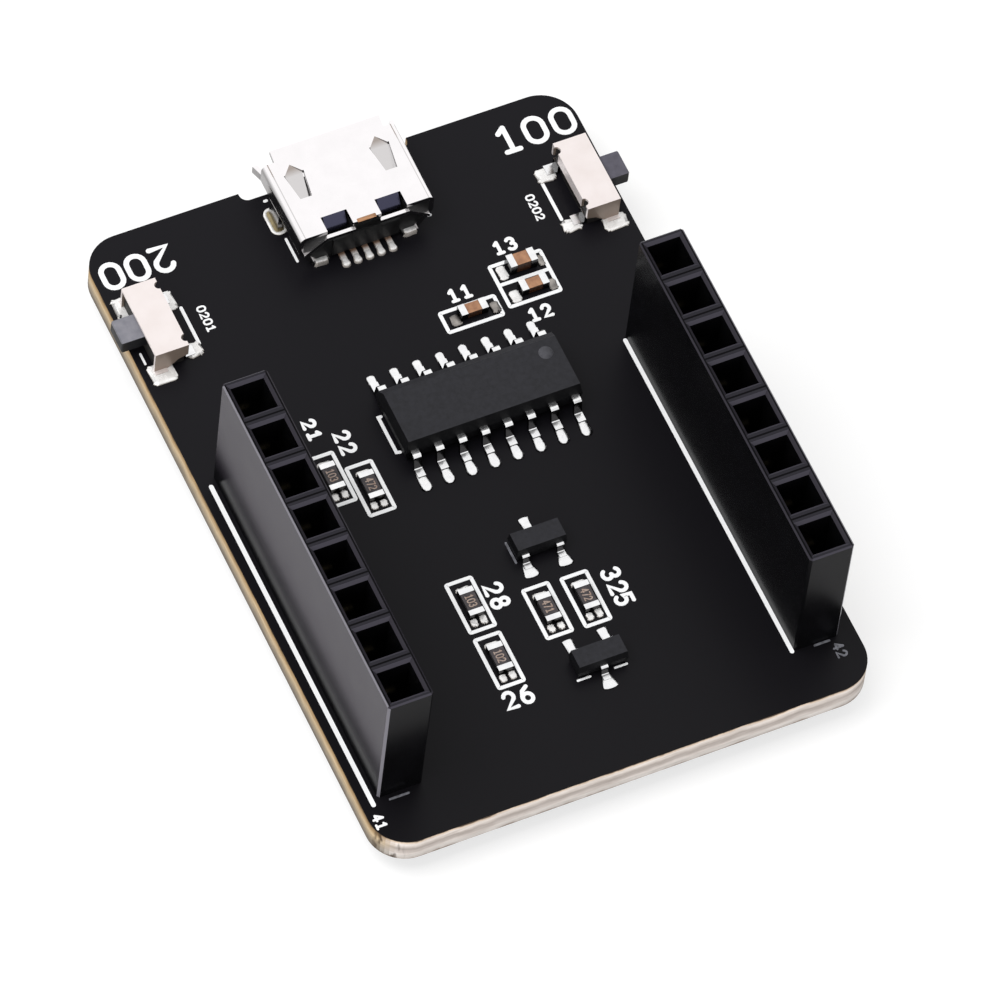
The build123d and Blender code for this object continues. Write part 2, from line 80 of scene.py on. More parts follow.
class Shape:
    """Collects points in board millimetres and the faces between them, then makes one piece of them."""

    def __init__(self):
        self.points = []
        self.faces = []
        self.strokes = 0

    def add(self, points, faces):
        first = len(self.points)
        self.points += points
        self.faces += [[first + i for i in face] for face in faces]

    def prism(self, outline, low, high):
        n = len(outline)
        points = [(x, y, low) for x, y in outline] + [(x, y, high) for x, y in outline]
        sides = [[i, (i + 1) % n, n + (i + 1) % n, n + i] for i in range(n)]
        self.add(points, sides + [list(range(n, 2 * n)), list(range(n - 1, -1, -1))])

    def loft(self, rings):
        """Skin over rings of equal length, closed over the last one."""
        n = len(rings[0])
        faces = [[k * n + i, k * n + (i + 1) % n, (k + 1) * n + (i + 1) % n, (k + 1) * n + i]
                 for k in range(len(rings) - 1) for i in range(n)]
        last = (len(rings) - 1) * n
        faces += [[last + i for i in range(n)], list(range(n - 1, -1, -1))]
        self.add([point for ring in rings for point in ring], faces)

    def stroke(self, path, width, low, high, closed=False):
        """A flat line of one width along a path, with round ends where it is open."""
        high += STROKE_STEP * (self.strokes % STROKE_LEVELS)
        self.strokes += 1
        count = len(path)
        left, right = [], []
        for i, (x, y) in enumerate(path):
            before = path[i - 1] if closed or i else None
            after = path[(i + 1) % count] if closed or i < count - 1 else None
            normals = []
            for a, b in ((before, (x, y)), ((x, y), after)):
                if a and b:
                    length = math.dist(a, b)
                    normals.append(((a[1] - b[1]) / length, (b[0] - a[0]) / length))
            nx = sum(n[0] for n in normals) / len(normals)
            ny = sum(n[1] for n in normals) / len(normals)
            scale = width / 2 / max(nx * nx + ny * ny, CORNER_LIMIT)
            left.append((x + nx * scale, y + ny * scale))
            right.append((x - nx * scale, y - ny * scale))
        if closed:
            points = [(x, y, z) for z in (low, high) for side in (left, right) for x, y in side]
            faces = []
            for i in range(count):
                j = (i + 1) % count
                faces.append([2 * count + i, 3 * count + i, 3 * count + j, 2 * count + j])
                faces.append([i, 2 * count + i, 2 * count + j, j])
                faces.append([count + i, count + j, 3 * count + j, 3 * count + i])
            self.add(points, faces)
            return
        last_end = half_turn(path[-1], right[-1], width / 2)
        outline = right + last_end + left[::-1] + half_turn(path[0], left[0], width / 2)
        n = len(outline)
        cap = len(last_end)
        points = [(x, y, z) for z in (low, high) for x, y in outline]
        faces = [[i, (i + 1) % n, n + (i + 1) % n, n + i] for i in range(n)]
        for i in range(count - 1):
            faces.append([n + i, n + i + 1, n + 2 * count + cap - 2 - i, n + 2 * count + cap - 1 - i])
        faces.append([n + i for i in range(count - 1, count + cap + 1)])
        faces.append([n + i % n for i in range(2 * count + cap - 1, n + 1)])
        self.add(points, faces)

    def piece(self, name, material, slot, smooth=True, body="root"):
        """Makes the object, which rides on a body. Its slot is not used."""
        mesh = bpy.data.meshes.new(name)
        mesh.from_pydata([origin + Vector(p) * MM for p in self.points], [], self.faces)
        mesh.validate()
        mesh.polygons.foreach_set("use_smooth", [smooth] * len(mesh.polygons))
        mesh.materials.append(material)
        made = bpy.data.objects.new(name, mesh)
        bpy.context.scene.collection.objects.link(made)
        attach(made, body)


def half_turn(centre, start, radius, steps=6):
    """Points of a half circle about centre, counter-clockwise from start, without its two ends."""
    first = math.atan2(start[1] - centre[1], start[0] - centre[0])
    return [(centre[0] + radius * math.cos(first + math.pi * k / steps),
             centre[1] + radius * math.sin(first + math.pi * k / steps)) for k in range(1, steps)]


def rounded(x0, x1, y0, y1, r, z=None, steps=4):
    """Outline of a rectangle with round corners, at one height where z is given."""
    r = min(r, (x1 - x0) / 2, (y1 - y0) / 2)
    corners = ((x1 - r, y1 - r, 0), (x0 + r, y1 - r, 90), (x0 + r, y0 + r, 180), (x1 - r, y0 + r, 270))
    points = []
    for cx, cy, first in corners:
        for k in range(steps + 1):
            a = math.radians(first + 90 * k / steps)
            points.append((cx + r * math.cos(a), cy + r * math.sin(a)))
    return points if z is None else [(x, y, z) for x, y in points]


def arc(cx, cy, rx, ry, first, last, steps=10):
    """Points of an elliptic arc between two angles in degrees, with both its ends."""
    return [(cx + rx * math.cos(math.radians(first + (last - first) * k / steps)),
             cy + ry * math.sin(math.radians(first + (last - first) * k / steps))) for k in range(steps + 1)]


def circle(cx, cy, r):
    return arc(cx, cy, r, r, 0, 360, steps=32)[:-1]


# Plain numerals of one stroke width

def loop(cy, rx, ry):
    """A numeral's closed round."""
    return arc(0.3, cy, rx, ry, 90, 450, steps=16)[:-1]


# Each numeral stands on y 0, is 1 high and 0.6 wide: open lines, then closed ones
NUMERALS = {
    "0": ([], [arc(0.3, 0.68, 0.3, 0.32, 0, 180) + arc(0.3, 0.32, 0.3, 0.32, 180, 360)]),
    "1": ([[(0.1, 0.8), (0.3, 0.98)], [(0.32, 1.0), (0.32, 0.0)], [(0.1, 0.0), (0.54, 0.0)]], []),
    "2": ([arc(0.3, 0.7, 0.28, 0.3, 165, -35) + [(0.0, 0.0), (0.6, 0.0)]], []),
    "3": ([arc(0.27, 0.75, 0.26, 0.25, 150, -80), arc(0.28, 0.27, 0.3, 0.27, 80, -150)], []),
    "4": ([[(0.44, 0.0), (0.44, 0.98)], [(0.42, 1.0), (0.0, 0.3)], [(0.0, 0.3), (0.62, 0.3)]], []),
    "5": ([[(0.54, 1.0), (0.08, 1.0), (0.04, 0.56)] + arc(0.28, 0.32, 0.29, 0.32, 115, -145)], []),
    "6": ([[(0.48, 1.0), (0.16, 0.78), (0.02, 0.4)]], [loop(0.29, 0.28, 0.29)]),
    "7": ([[(0.0, 1.0), (0.58, 1.0)], [(0.58, 1.0), (0.2, 0.0)]], []),
    "8": ([], [loop(0.76, 0.23, 0.24), loop(0.26, 0.28, 0.26)]),
}
SILK_TOP = 0.02


def number(shape, digits, start, along, height, width, pitch, low=0.0, high=SILK_TOP, wide=1.0):
    """Numerals from a starting corner, running along a unit direction on the board. Their height and line width
    are in millimetres, their pitch in heights, and wide stretches them along the line."""
    ax, ay = along
    for place, digit in enumerate(digits):
        def put(point):
            u = (point[0] * wide + place * pitch) * height
            v = point[1] * height
            return (start[0] + u * ax - v * ay, start[1] + u * ay + v * ax)
        open_lines, closed_lines = NUMERALS[digit]
        for path in open_lines:
            shape.stroke([put(p) for p in path], width, low, high)
        for path in closed_lines:
            shape.stroke([put(p) for p in path], width, low, high, closed=True)


# Materials

def node(tree, kind, **inputs):
    """A shader node with its inputs set, an underscore in a name standing for a space."""
    made = tree.nodes.new(kind)
    for name, value in inputs.items():
        made.inputs[name.replace("_", " ")].default_value = value
    return made


def noise(tree, scale, stretch=(1, 1, 1), detail=3.0):
    """Soft grain in object space, so that it stays on the piece."""
    place = tree.nodes.new("ShaderNodeTexCoord")
    mapping = tree.nodes.new("ShaderNodeMapping")
    mapping.inputs["Scale"].default_value = stretch
    grain = node(tree, "ShaderNodeTexNoise", Scale=scale, Detail=detail)
    tree.links.new(place.outputs["Object"], mapping.inputs["Vector"])
    tree.links.new(mapping.outputs["Vector"], grain.inputs["Vector"])
    return grain.outputs["Fac"]


def spread(tree, factor, low, high, low_at=0.3, high_at=0.7):
    """Maps a value, from low_at to high_at, to a range of numbers or of colours."""
    if isinstance(low, tuple):
        ramp = tree.nodes.new("ShaderNodeValToRGB")
        ramp.color_ramp.elements[0].position = low_at
        ramp.color_ramp.elements[1].position = high_at
        ramp.color_ramp.elements[0].color = low
        ramp.color_ramp.elements[1].color = high
        tree.links.new(factor, ramp.inputs["Fac"])
        return ramp.outputs["Color"]
    span = tree.nodes.new("ShaderNodeMapRange")
    for name, value in (("From Min", low_at), ("From Max", high_at), ("To Min", low), ("To Max", high)):
        span.inputs[name].default_value = value
    tree.links.new(factor, span.inputs["Value"])
    return span.outputs["Result"]


def blend(tree, factor, under, over, kind="MIX"):
    """Lays one colour over another where the factor is 1."""
    mix = tree.nodes.new("ShaderNodeMix")
    mix.data_type = "RGBA"
    mix.blend_type = kind
    for name, value in (("Factor", factor), ("A", under), ("B", over)):
        if isinstance(value, (tuple, float)):
            mix.inputs[name].default_value = value
        else:
            tree.links.new(value, mix.inputs[name])
    return mix.outputs["Result"]


def math_node(tree, operation, *values):
    """A Math node over sockets and numbers."""
    made = tree.nodes.new("ShaderNodeMath")
    made.operation = operation
    for k, value in enumerate(values):
        if isinstance(value, (int, float)):
            made.inputs[k].default_value = value
        else:
            tree.links.new(value, made.inputs[k])
    return made.outputs[0]


def product(tree, *factors):
    """Several values multiplied, such as factors that all have to be 1."""
    result = factors[0]
    for factor in factors[1:]:
        result = math_node(tree, "MULTIPLY", result, factor)
    return result


def normal_part(tree, axis):
    """One part of the face's normal."""
    geometry = tree.nodes.new("ShaderNodeNewGeometry")
    parts = tree.nodes.new("ShaderNodeSeparateXYZ")
    tree.links.new(geometry.outputs["True Normal"], parts.inputs["Vector"])
    return parts.outputs[axis]


def place_part(tree, axis):
    """One part of the place, in metres. Pieces keep their zero, so it is also the place in the scene."""
    coordinates = tree.nodes.new("ShaderNodeTexCoord")
    parts = tree.nodes.new("ShaderNodeSeparateXYZ")
    tree.links.new(coordinates.outputs["Object"], parts.inputs["Vector"])
    return parts.outputs[axis]


def facing(tree, axis, low_at, high_at):
    """0 to 1 as a face turns towards an axis, whichever way along it."""
    return spread(tree, math_node(tree, "ABSOLUTE", normal_part(tree, axis)), 0.0, 1.0, low_at, high_at)


def leaning(tree, degrees, within):
    """1 on faces whose normal leans so far from upright, to within a share of its height."""
    height = math_node(tree, "ABSOLUTE", normal_part(tree, "Z"))
    return math_node(tree, "COMPARE", height, math.cos(math.radians(degrees)), within)


def place_along(tree, axis, low_at, high_at):
    """0 to 1 between two places on the board, in millimetres from its middle."""
    zero = origin["XYZ".index(axis)]
    return spread(tree, place_part(tree, axis), 0.0, 1.0, zero + low_at * MM, zero + high_at * MM)


def outward(tree):
    """How far a face looks out from the middle of the board: its normal along x times its place, in metres."""
    return product(tree, normal_part(tree, "X"), place_part(tree, "X"))


def bump(tree, shader, height, strength, distance):
    """Fine relief, its distance in metres."""
    relief = node(tree, "ShaderNodeBump", Strength=strength, Distance=distance)
    tree.links.new(height, relief.inputs["Height"])
    tree.links.new(relief.outputs["Normal"], shader.inputs["Normal"])


# Share of a face's normal along an axis, from which it starts to count as facing it and at which it does
TURN = (0.45, 0.8)
# The relief's grain is this much finer than the colour's
RELIEF_GRAIN = 2.3
RELIEF_STRENGTH = 0.5


def finish(name, dark, pale, grain, rough, metallic=0.0, specular=0.5, relief=0.0, steep=None, ends=None,
           layers=(), shine=None):
    """A surface whose colour, gloss and relief vary with one grain. steep is a darker colour painted on its
    upright faces and ends one painted on the faces across the board: painted shade, and on metal a painted dark
    reflection too.
    layers are functions that give a factor, with their colours. shine tints what the surface reflects."""
    made = bpy.data.materials.new(name)
    made.use_nodes = True
    tree = made.node_tree
    shader = tree.nodes["Principled BSDF"]
    shader.inputs["Metallic"].default_value = metallic
    shader.inputs["Specular IOR Level"].default_value = specular
    if shine:
        shader.inputs["Specular Tint"].default_value = shine
    grains = noise(tree, grain)
    colour = spread(tree, grains, dark, pale)
    if steep:
        colour = blend(tree, facing(tree, "Z", *TURN), steep, colour)
    if ends:
        colour = blend(tree, facing(tree, "Y", *TURN), colour, ends)
    for factor, over in layers:
        colour = blend(tree, factor(tree), colour, over)
    tree.links.new(colour, shader.inputs["Base Color"])
    tree.links.new(spread(tree, grains, rough[0], rough[1]), shader.inputs["Roughness"])
    if relief:
        bump(tree, shader, noise(tree, grain * RELIEF_GRAIN), RELIEF_STRENGTH, relief * MM)
    return made


def colour_stops(tree, factor, stops):
    """A ramp through several colours, each written as 0 to 255 with its position."""
    ramp = tree.nodes.new("ShaderNodeValToRGB")
    elements = ramp.color_ramp.elements
    while len(elements) < len(stops):
        elements.new(0.5)
    for element, (position, colour) in zip(elements, stops):
        element.position = position
        element.color = srgb(*colour)
    tree.links.new(factor, ramp.inputs["Fac"])
    return ramp.outputs["Color"]


def board_material():
    """Black solder mask on the faces of the board, and the layers of its laminate on the cut edges."""
    made = bpy.data.materials.new("solder_mask_and_laminate")
    made.use_nodes = True
    tree = made.node_tree
    link = tree.links.new
    shader = tree.nodes["Principled BSDF"]
    shader.inputs["Specular IOR Level"].default_value = 0.12
    level = place_along(tree, "Z", -board_t, 0.0)
    # The layers waver a little along the edge
    waver = spread(tree, noise(tree, 900.0, (1, 1, 0.2)), -0.06, 0.06)
    shifted = math_node(tree, "ADD", level, waver)
    end_layers = colour_stops(tree, shifted, (
        (0.0, (150, 136, 124)), (0.06, (214, 206, 200)), (0.2, (232, 226, 221)), (0.3, (232, 223, 217)),
        (0.46, (206, 196, 190)), (0.58, (190, 180, 173)), (0.72, (232, 222, 215)), (0.84, (252, 242, 235)),
        (0.95, (236, 214, 190)), (1.0, (96, 80, 66))))
    # The side edges, which face along x, take darker layers than the ends, darkest towards the bottom: painted
    # shade.
    side_layers_painted_shade = colour_stops(tree, shifted, (
        (0.0, (112, 104, 94)), (0.22, (140, 130, 116)), (0.42, (176, 160, 136)), (0.62, (206, 184, 150)),
        (0.8, (188, 160, 122)), (0.92, (158, 130, 92)), (1.0, (90, 72, 50))))
    fibres = spread(tree, noise(tree, 700.0, (1, 1, 9), 5.0), srgb(226, 224, 222), srgb(255, 255, 255))
    laminate = blend(tree, facing(tree, "X", 0.6, 0.9), end_layers, side_layers_painted_shade)
    laminate = blend(tree, 1.0, laminate, fibres, "MULTIPLY")
    # The near left corner is scuffed
    scuffs = spread(tree, noise(tree, 2200.0, (1, 1, 0.3), 2.0), 0.0, 0.85, 0.52, 0.6)
    corner = product(tree, place_along(tree, "X", -12.3, -12.9), place_along(tree, "Y", -17.2, -18.2))
    laminate = blend(tree, product(tree, corner, scuffs), laminate, srgb(62, 48, 36))
    # The mask is painted a shade paler towards the receptacle: painted light, brighter on the far side of the
    # board
    mask = spread(tree, place_along(tree, "Y", -19.2, 19.2), srgb(17, 16, 19), srgb(19, 18, 22), 0.0, 1.0)
    flat = facing(tree, "Z", 0.3, 0.7)
    link(blend(tree, flat, laminate, mask), shader.inputs["Base Color"])
    link(spread(tree, flat, 0.75, 0.36, 0.0, 1.0), shader.inputs["Roughness"])
    bump(tree, shader, noise(tree, 2500.0), 0.15, 0.004 * MM)
    return made


mask_and_laminate = board_material()

# The socket rows: their middles across and along the board, the distance from well to well, and half of the
# width that a well takes with its lead-ins
SOCKET_ROW_X = 11.43
SOCKET_ROW_Y = -6.05
SOCKET_PITCH = 2.54
WELL_REACH = 1.07
# How far faces lean from upright, in degrees
WELL_LEAD_IN_LEAN = 45
REAR_FLAP_LEAN = 50
LATCH_LEAN = 11


def outer_face_painted_light(tree):
    """The side of a socket row that looks off the board, from a little above the board upwards, painted a paler
    grey: painted light.
    """
    side = spread(tree, outward(tree), 0.0, 1.0, 12.0 * MM, 12.4 * MM)
    return product(tree, side, place_along(tree, "Z", 0.9, 3.6))


def outer_rim_highlight(tree):
    """The chamfers and corners round that side, where the normal's part times the place gives about 8.9 mm: a
    painted highlight.
    """
    return math_node(tree, "COMPARE", outward(tree), 8.9 * MM, 0.45 * MM)


# The wells' lead-ins, which get a grey painted highlight.
def lead_in_highlight(tree):
    return leaning(tree, WELL_LEAD_IN_LEAN, 0.12)


def cross_lead_in_highlight(tree):
    """The lead-ins at a well's two ends, which get a brighter painted highlight than those along the row."""
    return product(tree, lead_in_highlight(tree), facing(tree, "Y", 0.5, 0.6))


def wall_top_highlights(tree):
    """The flat tops of the walls between the wells of a socket row, on both sides of a dark middle line, where
    painted highlights go.
    """
    along = math_node(tree, "SUBTRACT", place_part(tree, "Y"), origin.y + SOCKET_ROW_Y * MM)
    from_wall = math_node(tree, "PINGPONG", along, SOCKET_PITCH / 2 * MM)
    beside_line = math_node(tree, "COMPARE", from_wall, 0.14 * MM, 0.09 * MM)
    from_middle = math_node(tree, "ABSOLUTE", place_part(tree, "X"))
    across = math_node(tree, "COMPARE", from_middle, SOCKET_ROW_X * MM, WELL_REACH * MM)
    top = spread(tree, normal_part(tree, "Z"), 0.0, 1.0, 0.9, 0.95)
    return product(tree, top, beside_line, across)


def rear_flap_painted_shade(tree):
    """The flaps that lean into the receptacle's rear notches, without its other slanting faces: the place of a
    dark painted shade.
    """
    from_middle = math_node(tree, "ABSOLUTE", place_part(tree, "X"))
    inside = spread(tree, from_middle, 1.0, 0.0, 2.5 * MM, 2.6 * MM)
    return product(tree, leaning(tree, REAR_FLAP_LEAN, 0.04), inside, place_along(tree, "Y", 14.9, 14.8))


# The latch springs' slopes and their roots take painted shade: light grey on the slope, darker at the root.
def latch_spring_painted_shade(tree):
    return leaning(tree, LATCH_LEAN, 0.008)


def latch_root_painted_shade(tree):
    return product(tree, latch_spring_painted_shade(tree), place_along(tree, "Y", 17.7, 18.1))


def contact_leg(tree):
    """The receptacle's contacts from their legs inwards."""
    return place_along(tree, "Y", 13.55, 13.8)


def contact_tongue(tree):
    return place_along(tree, "Y", 14.8, 15.2)


# The black of the headers gets painted light: a paler outer face, and painted highlights on the lead-ins, the
# wall tops and the outer rim.
header_black = finish("moulded_header_black", srgb(8, 8, 9), srgb(12, 12, 14), 900.0, (0.22, 0.25),
                      specular=0.05, layers=((outer_face_painted_light, srgb(50, 46, 54)), (lead_in_highlight, srgb(50, 48, 54)),
                                             (cross_lead_in_highlight, srgb(68, 66, 74)), (wall_top_highlights, srgb(43, 42, 47)),
                                             (outer_rim_highlight, srgb(118, 116, 123))), shine=srgb(250, 243, 255))
# The steep colours below paint the upright faces darker: painted shade, and on metal surfaces a painted dark
# reflection too.
package_black = finish("moulded_package_black", srgb(40, 40, 43), srgb(48, 48, 52), 4200.0, (0.5, 0.62),
                       specular=0.15, relief=0.006, steep=srgb(18, 18, 20))
base_black = finish("moulded_base_black", srgb(22, 20, 20), srgb(34, 32, 31), 2500.0, (0.5, 0.6),
                    specular=0.3, relief=0.006)
insulator_black = finish("moulded_insulator_black", srgb(16, 16, 17), srgb(26, 26, 27), 2500.0, (0.42, 0.55),
                         specular=0.3, relief=0.005)
# One grey plastic, painted lighter on the left plunger and darker on the right one: painted light and shade.
plunger_grey_painted_lit = finish("moulded_plunger_lit_copy", srgb(122, 122, 130), srgb(138, 137, 144), 2600.0,
                           (0.5, 0.6), specular=0.2, relief=0.005, steep=srgb(20, 20, 23))
plunger_grey_painted_shade = finish("moulded_plunger_shaded_copy", srgb(82, 80, 89), srgb(95, 93, 103), 2600.0,
                            (0.5, 0.6), specular=0.2, relief=0.005, steep=srgb(16, 16, 19))
gold_contact = finish("plated_contact", srgb(196, 180, 138), srgb(222, 206, 164), 2000.0, (0.22, 0.34),
                      metallic=1.0, relief=0.003, steep=srgb(74, 64, 44))
bright_solder = finish("bright_solder", srgb(238, 238, 240), srgb(255, 255, 255), 2300.0, (0.12, 0.3),
                       metallic=1.0, relief=0.012, steep=srgb(120, 119, 118))
satin_solder = finish("satin_solder", srgb(232, 230, 228), srgb(252, 251, 250), 2300.0, (0.2, 0.34),
                      metallic=0.2, relief=0.01, steep=srgb(206, 199, 192))
# A darker solder for pads in a capacitor's shade: painted shade.
solder_painted_shade = finish("solder_painted_shade", srgb(78, 76, 76), srgb(186, 180, 174), 1700.0, (0.2, 0.4),
                     metallic=1.0, relief=0.02, steep=srgb(78, 74, 72))
tinned = finish("tinned_leads", srgb(240, 240, 242), srgb(255, 255, 255), 2600.0, (0.14, 0.24),
                metallic=1.0, relief=0.004, steep=srgb(58, 57, 58))
satin_tin = finish("satin_tinned_leads", srgb(238, 235, 232), srgb(253, 251, 249), 2600.0, (0.2, 0.3),
                   metallic=0.2, relief=0.004,
                   layers=((contact_leg, srgb(150, 122, 104)), (contact_tongue, srgb(214, 190, 132))))
# The shell's rear flaps are painted dark bluish grey, its latch springs light grey and their roots darker:
# painted shade; its upright faces are painted grey, a painted reflection.
shell_steel = finish("plated_shell_steel", srgb(251, 248, 249), srgb(255, 252, 253), 1100.0, (0.14, 0.18),
                     metallic=1.0, steep=srgb(150, 148, 148),
                     layers=((rear_flap_painted_shade, srgb(70, 70, 88)), (latch_spring_painted_shade, srgb(216, 213, 213)),
                             (latch_root_painted_shade, srgb(172, 162, 156))))
# The cover's ends across the board are painted brownish grey: painted shade.
cover_steel = finish("tinned_cover_steel", srgb(233, 223, 220), srgb(239, 230, 228), 900.0, (0.3, 0.36),
                     metallic=0.3, ends=srgb(146, 130, 118))
spring_steel = finish("bright_spring_steel", srgb(190, 190, 190), srgb(226, 226, 226), 2500.0, (0.2, 0.3),
                      metallic=1.0, relief=0.003)
bare_copper = finish("bare_cut_edge", srgb(176, 128, 92), srgb(206, 160, 124), 2600.0, (0.35, 0.5),
                     metallic=0.6, relief=0.004)
slot_plating = finish("flux_on_plating", srgb(92, 80, 56), srgb(176, 162, 124), 1500.0, (0.3, 0.5),
                      metallic=0.5, relief=0.02)
resistor_glaze = finish("dark_resistor_glaze", srgb(40, 38, 42), srgb(74, 68, 70), 3800.0, (0.3, 0.45),
                        specular=0.4, relief=0.006, steep=srgb(24, 22, 24))
capacitor_brown = finish("brown_capacitor_ceramic", srgb(146, 104, 78), srgb(180, 134, 102), 3400.0,
                         (0.34, 0.5), specular=0.4, relief=0.006, steep=srgb(64, 36, 20))
legend_white = finish("white_legend_ink", srgb(250, 251, 253), srgb(255, 255, 255), 3600.0, (0.5, 0.65),
                      specular=0.3)
faint_grey_ink = finish("grey_legend_ink", srgb(84, 84, 89), srgb(138, 139, 146), 3600.0, (0.5, 0.65),
                     specular=0.2)
mark_grey = finish("pale_marking", srgb(150, 126, 112), srgb(176, 160, 150), 4200.0, (0.5, 0.6), relief=0.003)
disc_grey = finish("pale_pin_one_disc", srgb(74, 74, 79), srgb(86, 86, 91), 4200.0, (0.5, 0.62), specular=0.15)

SLOT_MATERIALS = {
    "board_laminate": mask_and_laminate, "header_plastic": header_black, "contact_metal": gold_contact,
    "solder": bright_solder, "switch_base_plastic": base_black, "switch_cover_steel": cover_steel,
    "plunger_plastic": plunger_grey_painted_lit, "spring_steel": spring_steel, "tinned_metal": tinned,
    "shell_steel": shell_steel, "insulator_plastic": insulator_black, "package_plastic": package_black,
    "resistor_ceramic": resistor_glaze, "capacitor_ceramic": capacitor_brown,
}
node_slots = {part["node"]: part["material_slot"] for part in frame["record"]["subparts"]}
NODE_MATERIALS = {f"usb_contact_{way}": satin_tin for way in range(1, 6)}
NODE_MATERIALS["right_switch_plunger"] = plunger_grey_painted_shade
for name, piece in frame["nodes"].items():
    material = NODE_MATERIALS.get(name, SLOT_MATERIALS[node_slots[name]])
    if not piece.material_slots:
        piece.data.materials.append(material)
    for slot in piece.material_slots:
        slot.material = material


# Printed legend

legend = Shape()
LINE = 0.2


def line(*path, width=LINE):
    legend.stroke(list(path), width, 0.0, SILK_TOP)


def frame_box(x0, x1, y0, y1):
    legend.stroke(rounded(x0, x1, y0, y1, 0.07, steps=3), LINE, 0.0, SILK_TOP, closed=True)


# Outlines of the resistors, the capacitors and the chip
for x, y in ((-7.2, 1.63), (-5.58, 0.45), (-3.75, -7.72), (-3.75, -11.2), (-0.3, -9.45), (1.78, -9.53)):
    frame_box(x - 0.68, x + 0.68, y - 1.5, y + 1.5)
frame_box(1.95, 4.97, 7.48, 8.7)
frame_box(5.48, 8.32, 7.75, 10.35)
line((5.48, 9.14), (8.32, 9.14))
line((-3.36, 4.15), (-3.5, 4.15), (-3.5, 1.9), (-3.32, 1.86), width=0.18)
# Lines beside the two socket rows
line((-13.0, 3.5), (-13.0, -16.5), width=0.24)
line((10.09, 3.75), (10.09, -16.2), width=0.22)
# Marks at the receptacle, the transistors and the switches
line((-3.47, 14.3), (-3.47, 15.75), width=0.14)
line((-0.6, -13.75), (0.08, -13.75), width=0.12)
line((1.45, -13.75), (2.1, -13.75), width=0.12)
line((-10.12, 11.6), (-10.12, 13.9), width=0.18)
line((10.14, 11.65), (10.14, 14.0), width=0.18)
line((-13.15, 11.45), (-13.15, 12.1), width=0.12)
line((3.9, 14.4), (4.0, 14.4), width=0.16)
line((-3.55, 18.28), (-3.45, 18.28), width=0.16)
# Plain numbers stand where the board has its lettering
number(legend, "200", (-9.33, 17.67), (-1, 0), 1.44, 0.28, 0.97, wide=1.1)
number(legend, "100", (9.1, 16.43), (1, 0), 1.49, 0.28, 1.047, wide=1.14)
number(legend, "0201", (-9.4, 13.6), (0, -1), 0.42, 0.1, 1.0, wide=1.1)
number(legend, "0202", (8.98, 13.6), (0, -1), 0.42, 0.1, 1.0, wide=1.1)
number(legend, "11", (2.85, 9.12), (1, 0), 0.68, 0.19, 1.05)
number(legend, "13", (6.2, 10.92), (1, 0), 0.68, 0.19, 1.05)
number(legend, "12", (6.2, 6.55), (1, 0), 0.68, 0.19, 1.05)
number(legend, "21", (-7.24, 5.3), (0, -1), 0.62, 0.19, 1.15, wide=1.1)
number(legend, "22", (-6.05, 4.05), (0, -1), 0.76, 0.2, 1.05)
number(legend, "28", (-2.74, -7.0), (0, -1), 0.88, 0.21, 0.98)
number(legend, "32", (3.12, -8.4), (0, -1), 0.88, 0.21, 0.98)
number(legend, "5", (3.12, -10.0), (0, -1), 0.88, 0.21, 0.98)
number(legend, "26", (-4.5, -13.98), (1, 0), 0.92, 0.21, 0.98)
number(legend, "41", (-13.36, -17.1), (0, -1), 0.5, 0.12, 0.95)
legend.piece("board_legend", legend_white, "board_laminate", smooth=False)
# Some legend lines and the 42 are drawn in grey.
grey_strokes = Shape()
for path in (((-0.6, -5.05), (-0.6, -6.3)), ((-12.1, -16.5), (-11.1, -16.5)), ((11.3, -16.3), (12.1, -16.3))):
    grey_strokes.stroke(list(path), 0.12, 0.0, SILK_TOP)
number(grey_strokes, "42", (12.12, -16.62), (0, -1), 0.5, 0.11, 0.95)
grey_strokes.piece("board_legend_grey", faint_grey_ink, "board_laminate", smooth=False)


# Tinned pads and solder

PAD_T = 0.035
# Solder climbs what stands on a pad the steeper, the higher this power is
FILLET_POWER = 1.9
# Corner radius of a fillet at the pad and at its top
FILLET_FOOT_R = 0.12
FILLET_TOP_R = 0.03


def fillet(shape, outer, inner, height, steps=5):
    """Solder that climbs, hollow-faced, from a pad's outline to the metal that stands on it."""
    rings = [rounded(*outer, FILLET_FOOT_R, 0.0)]
    for k in range(steps + 1):
        t = k / steps
        box = [a + (b - a) * t for a, b in zip(outer, inner)]
        r = FILLET_FOOT_R * (1 - t) + FILLET_TOP_R * t
        rings.append(rounded(*box, r, PAD_T + (height - PAD_T) * t ** FILLET_POWER))
    shape.loft(rings)


def node_box(name):
    """A node's box in board millimetres: lowest and highest corner."""
    low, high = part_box(name)
    return (low - origin) / MM, (high - origin) / MM


def middle_of(low, high):
    return (low.x + high.x) / 2, (low.y + high.y) / 2


def mound(shape, outline, height, crown=0.35, steps=4):
    """Solder over an outline, steep at its rim and rounded on top."""
    cx = sum(x for x, y in outline) / len(outline)
    cy = sum(y for x, y in outline) / len(outline)
    rings = [[(x, y, 0.0) for x, y in outline]]
    for k in range(steps + 1):
        t = k / steps
        scale = 1 - (1 - crown) * t * t
        z = PAD_T + (height - PAD_T) * math.sin(math.pi / 2 * t)
        rings.append([(cx + (x - cx) * scale, cy + (y - cy) * scale, z) for x, y in outline])
    shape.loft(rings)


def flared(x, heel, tip, narrow, wide, roundness=0.8):
    """Outline that widens from a heel to a round toe, between two places along y."""
    way = 1 if tip > heel else -1
    r = wide / 2
    toe = tip - way * r * roundness
    points = [(x + narrow / 2, heel), (x + r, toe)]
    points += [(x + r * math.cos(a), toe + way * r * roundness * math.sin(a))
               for a in (math.pi * k / 6 for k in range(1, 6))]
    points += [(x - r, toe), (x - narrow / 2, heel)]
    return points if way > 0 else points[::-1]


